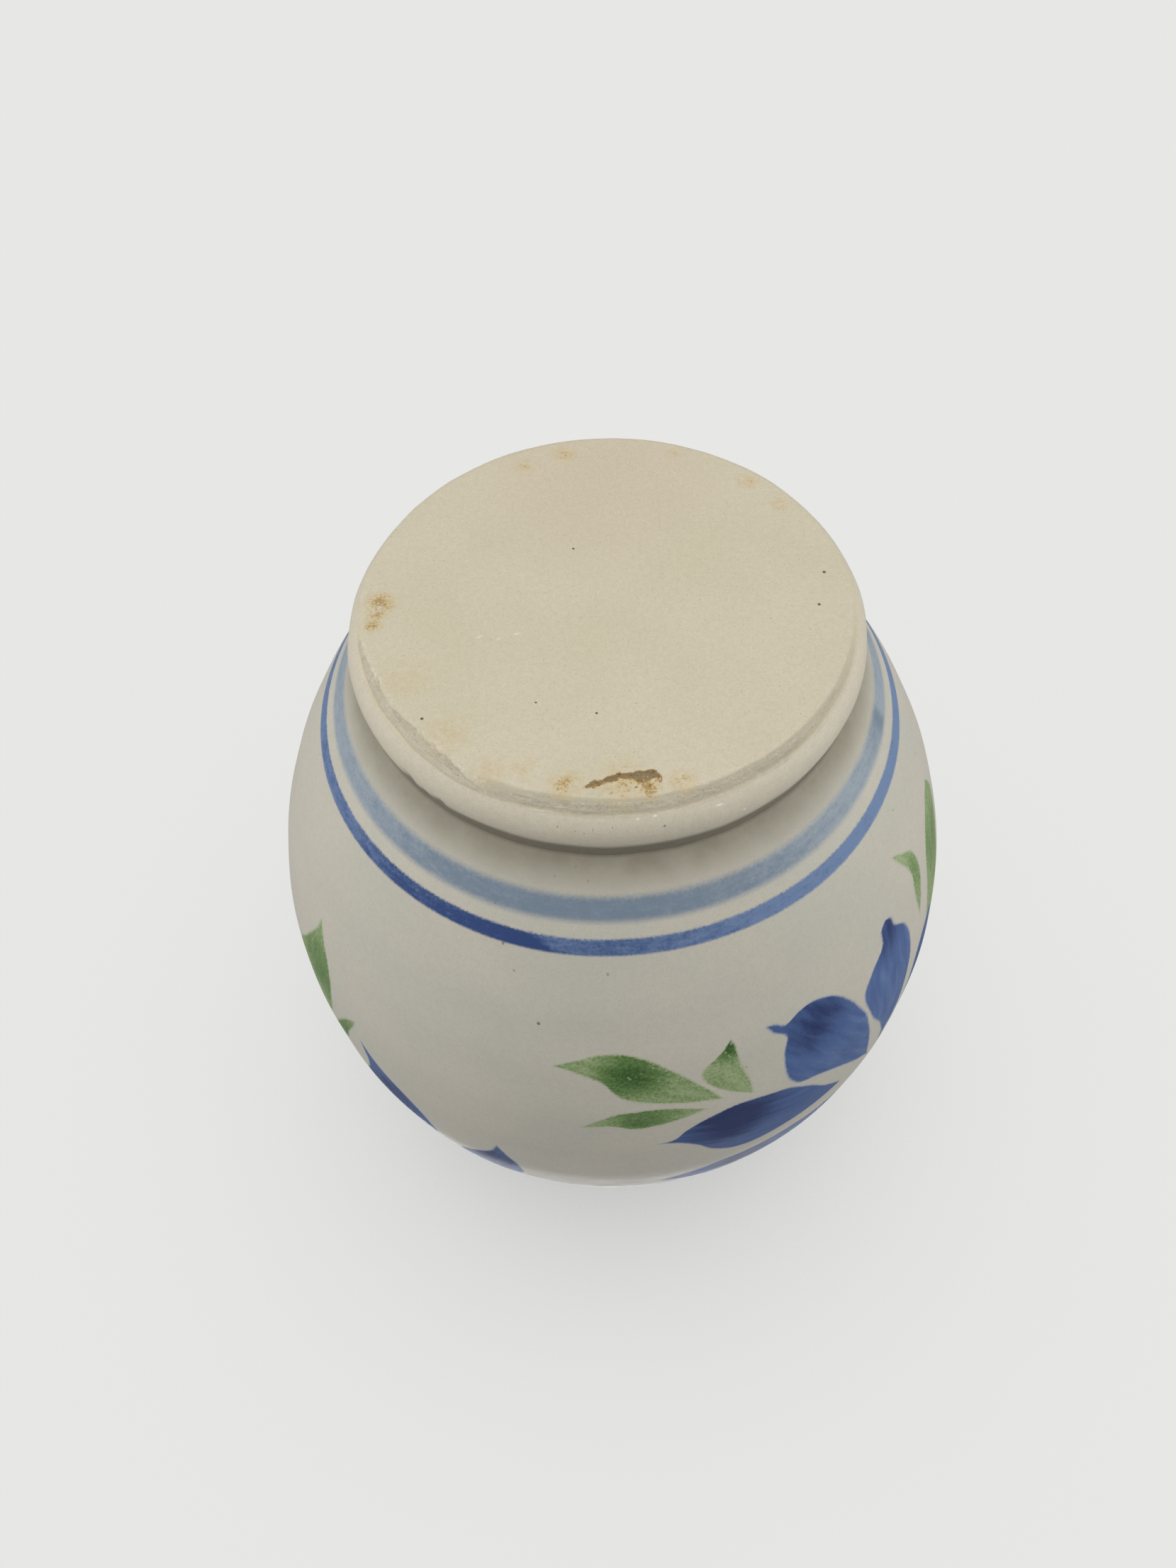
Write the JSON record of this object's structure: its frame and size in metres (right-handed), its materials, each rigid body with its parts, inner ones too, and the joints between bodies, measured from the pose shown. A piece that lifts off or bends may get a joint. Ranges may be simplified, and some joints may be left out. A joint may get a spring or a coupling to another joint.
{
  "type": "pottery vase",
  "caption": "Round hand-thrown pottery vase on a beaded flat foot, with a full belly, short flared neck, cream glaze, blue bands and a painted flower sprig.",
  "frame": {"origin": "centre of the flat bare underside of the foot", "axes": "+Z along the vase's axis from the foot to the mouth; -Y faces the painted flower's side"},
  "size_m": [0.1216, 0.1216, 0.146],
  "materials": {
    "bare_clay": "bare fired clay, fine grained and matt, with dark specks and ochre stains",
    "cream_glaze": "cream glaze with a satin gloss and a painted blue and green flower sprig",
    "liner_finish": "cream liner glaze with a satin gloss",
    "pale_blue": "pale blue colour brushed into the glaze",
    "deep_blue": "deep blue colour brushed into the glaze"
  },
  "bodies": {
    "root": {"clay_body": "bare_clay", "outer_glaze": "cream_glaze", "liner_glaze": "liner_finish", "foot_pale_band": "pale_blue", "foot_deep_band": "deep_blue", "neck_pale_band": "pale_blue", "neck_deep_band": "deep_blue"}
  },
  "joints": []
}
